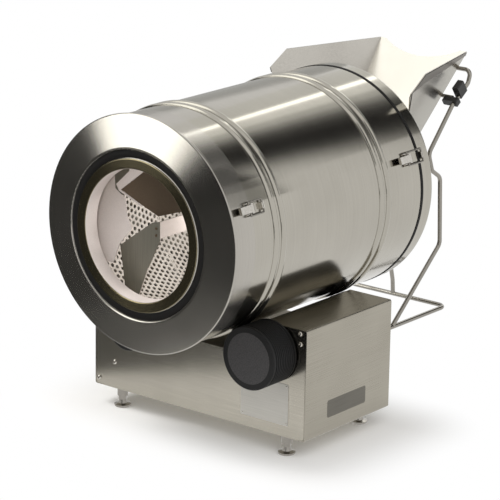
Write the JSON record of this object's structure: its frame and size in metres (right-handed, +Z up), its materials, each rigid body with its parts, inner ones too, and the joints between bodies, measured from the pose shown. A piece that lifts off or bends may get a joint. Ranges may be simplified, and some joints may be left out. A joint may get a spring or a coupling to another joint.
{
  "type": "drum breading machine",
  "caption": "Tabletop breading machine: a double-walled steel drum with vanes rests on rubber wheels over a low motor housing, with an infeed hopper on a wire frame.",
  "frame": {"origin": "bottom centre of the overall box: on the table, midway between the drum's front rim and the hopper's rear edge, and midway across the housing", "axes": "X to the right seen from the discharge front, Y from the discharge front to the hopper at the rear along the drum's axis, Z up"},
  "size_m": [0.47, 0.811, 0.5915],
  "materials": {
    "drum_steel": "fine brushed stainless steel, brushed round the drum",
    "cover_steel": "spun stainless steel with a bright, smooth surface",
    "inner_steel": "plain stainless steel, slightly duller inside",
    "housing_steel": "brushed stainless sheet",
    "hopper_steel": "satin stainless sheet",
    "rod_steel": "polished stainless rod",
    "turned_steel": "turned stainless steel",
    "hub_plastic": "smooth grey plastic disc",
    "tyre_rubber": "matt black rubber",
    "seal_rubber": "matt black rubber seal",
    "black_plastic": "matt black plastic",
    "latch_steel": "bright stainless wire and pressed parts",
    "motor_aluminium": "cast aluminium",
    "belt_rubber": "black rubber belt",
    "foot_steel": "turned stainless foot"
  },
  "bodies": {
    "base": {"base_wrap": "housing_steel", "front_panel": "housing_steel", "rear_panel": "housing_steel", "floor_plate": "housing_steel", "panel_screws": "turned_steel", "foot_sleeves": "turned_steel", "shaft_bearings": "motor_aluminium", "gear_motor": "motor_aluminium", "motor_bracket": "housing_steel", "drive_belt": "belt_rubber", "cable_gland": "black_plastic", "switch_housing": "black_plastic", "lower_rod": "rod_steel", "cradle_rod": "rod_steel", "hopper_prop": "rod_steel", "rod_sockets": "turned_steel", "clamp_blocks": "black_plastic", "idler_shaft": "turned_steel"},
    "drum": {"drum_shell": "drum_steel", "front_cover": "cover_steel", "front_seal": "seal_rubber", "front_diaphragm": "inner_steel", "rear_cap": "cover_steel", "rear_seal": "seal_rubber", "screen_drum": "inner_steel", "inner_drum": "inner_steel", "return_spiral": "inner_steel", "vane_left": "inner_steel", "vane_top": "inner_steel", "vane_lower": "inner_steel", "lifting_flights": "inner_steel", "latch_bases": "latch_steel", "latch_keepers": "latch_steel"},
    "drive_shaft_set": {"drive_shaft": "turned_steel", "shaft_pulley": "turned_steel", "tyre_front_right": "tyre_rubber", "hub_front_right": "hub_plastic"},
    "roller_front_left": {"tyre_front_left": "tyre_rubber", "hub_front_left": "hub_plastic"},
    "roller_rear_left": {"tyre_rear_left": "tyre_rubber", "hub_rear_left": "hub_plastic"},
    "roller_rear_right": {"tyre_rear_right": "tyre_rubber", "hub_rear_right": "hub_plastic"},
    "motor_output": {"motor_pulley": "turned_steel"},
    "hopper_body": {"hopper": "hopper_steel", "hopper_pegs": "turned_steel"},
    "rocker": {"switch_rocker": "black_plastic"},
    "foot_front_left_body": {"foot_front_left": "foot_steel"},
    "foot_front_right_body": {"foot_front_right": "foot_steel"},
    "foot_rear_left_body": {"foot_rear_left": "foot_steel"},
    "foot_rear_right_body": {"foot_rear_right": "foot_steel"},
    "lever_front_right": {"latch_lever_front_right": "latch_steel"},
    "bail_front_right": {"latch_bail_front_right": "latch_steel"},
    "lever_front_left": {"latch_lever_front_left": "latch_steel"},
    "bail_front_left": {"latch_bail_front_left": "latch_steel"},
    "lever_rear_right": {"latch_lever_rear_right": "latch_steel"},
    "bail_rear_right": {"latch_bail_rear_right": "latch_steel"},
    "lever_rear_left": {"latch_lever_rear_left": "latch_steel"},
    "bail_rear_left": {"latch_bail_rear_left": "latch_steel"}
  },
  "joints": [
    {"name": "drum_spin", "type": "hinge", "parent": "base", "child": "drum", "pos_m": [0, 0, 0.387], "axis": [0, 1, 0], "continuous": true},
    {"name": "drive_shaft_spin", "type": "hinge", "parent": "base", "child": "drive_shaft_set", "pos_m": [0.162, 0, 0.18453], "axis": [0, 1, 0], "continuous": true},
    {"name": "roller_front_left_spin", "type": "hinge", "parent": "base", "child": "roller_front_left", "pos_m": [-0.12, -0.275, 0.1742], "axis": [0, 1, 0], "continuous": true},
    {"name": "roller_rear_left_spin", "type": "hinge", "parent": "base", "child": "roller_rear_left", "pos_m": [-0.12, 0.0205, 0.1742], "axis": [0, 1, 0], "continuous": true},
    {"name": "roller_rear_right_spin", "type": "hinge", "parent": "base", "child": "roller_rear_right", "pos_m": [0.12, 0.0205, 0.1742], "axis": [0, 1, 0], "continuous": true},
    {"name": "motor_output_spin", "type": "hinge", "parent": "base", "child": "motor_output", "pos_m": [0.132, -0.06, 0.092], "axis": [0, 1, 0], "continuous": true},
    {"name": "hopper_lift", "type": "slide", "parent": "base", "child": "hopper_body", "axis": [0, 0, 1], "range_m": [0, 0.04]},
    {"name": "switch_tip", "type": "hinge", "parent": "base", "child": "rocker", "pos_m": [-0.186, -0.002, 0.097], "axis": [0, 0, 1], "range_deg": [-9, 9]},
    {"name": "foot_front_left_screw", "type": "slide", "parent": "base", "child": "foot_front_left_body", "axis": [0, 0, -1], "range_m": [0, 0.012]},
    {"name": "foot_front_right_screw", "type": "slide", "parent": "base", "child": "foot_front_right_body", "axis": [0, 0, -1], "range_m": [0, 0.012]},
    {"name": "foot_rear_left_screw", "type": "slide", "parent": "base", "child": "foot_rear_left_body", "axis": [0, 0, -1], "range_m": [0, 0.012]},
    {"name": "foot_rear_right_screw", "type": "slide", "parent": "base", "child": "foot_rear_right_body", "axis": [0, 0, -1], "range_m": [0, 0.012]},
    {"name": "latch_front_right", "type": "hinge", "parent": "drum", "child": "lever_front_right", "pos_m": [0.19452, -0.3435, 0.4578], "axis": [-0.342, 0, 0.9397], "range_deg": [0, 100]},
    {"name": "bail_front_right_swing", "type": "hinge", "parent": "lever_front_right", "child": "bail_front_right", "pos_m": [0.19452, -0.3495, 0.4578], "axis": [-0.342, 0, 0.9397], "range_deg": [-100, 0]},
    {"name": "latch_front_left", "type": "hinge", "parent": "drum", "child": "lever_front_left", "pos_m": [-0.19452, -0.3435, 0.3162], "axis": [0.342, 0, -0.9397], "range_deg": [0, 100]},
    {"name": "bail_front_left_swing", "type": "hinge", "parent": "lever_front_left", "child": "bail_front_left", "pos_m": [-0.19452, -0.3495, 0.3162], "axis": [0.342, 0, -0.9397], "range_deg": [-100, 0]},
    {"name": "latch_rear_right", "type": "hinge", "parent": "drum", "child": "lever_rear_right", "pos_m": [0.19452, 0.0965, 0.4578], "axis": [-0.342, 0, 0.9397], "range_deg": [0, 100]},
    {"name": "bail_rear_right_swing", "type": "hinge", "parent": "lever_rear_right", "child": "bail_rear_right", "pos_m": [0.19452, 0.0905, 0.4578], "axis": [-0.342, 0, 0.9397], "range_deg": [-100, 0]},
    {"name": "latch_rear_left", "type": "hinge", "parent": "drum", "child": "lever_rear_left", "pos_m": [-0.19452, 0.0965, 0.3162], "axis": [0.342, 0, -0.9397], "range_deg": [0, 100]},
    {"name": "bail_rear_left_swing", "type": "hinge", "parent": "lever_rear_left", "child": "bail_rear_left", "pos_m": [-0.19452, 0.0905, 0.3162], "axis": [0.342, 0, -0.9397], "range_deg": [-100, 0]}
  ],
  "couplings": [
    {"joint": "drive_shaft_spin", "follows": "drum_spin", "ratio": -3.7091},
    {"joint": "roller_front_left_spin", "follows": "drum_spin", "ratio": -5.1},
    {"joint": "roller_rear_left_spin", "follows": "drum_spin", "ratio": -5.1},
    {"joint": "roller_rear_right_spin", "follows": "drum_spin", "ratio": -5.1},
    {"joint": "motor_output_spin", "follows": "drum_spin", "ratio": -5.8452},
    {"joint": "bail_front_right_swing", "follows": "latch_front_right", "ratio": -1},
    {"joint": "bail_front_left_swing", "follows": "latch_front_left", "ratio": -1},
    {"joint": "bail_rear_right_swing", "follows": "latch_rear_right", "ratio": -1},
    {"joint": "bail_rear_left_swing", "follows": "latch_rear_left", "ratio": -1}
  ]
}
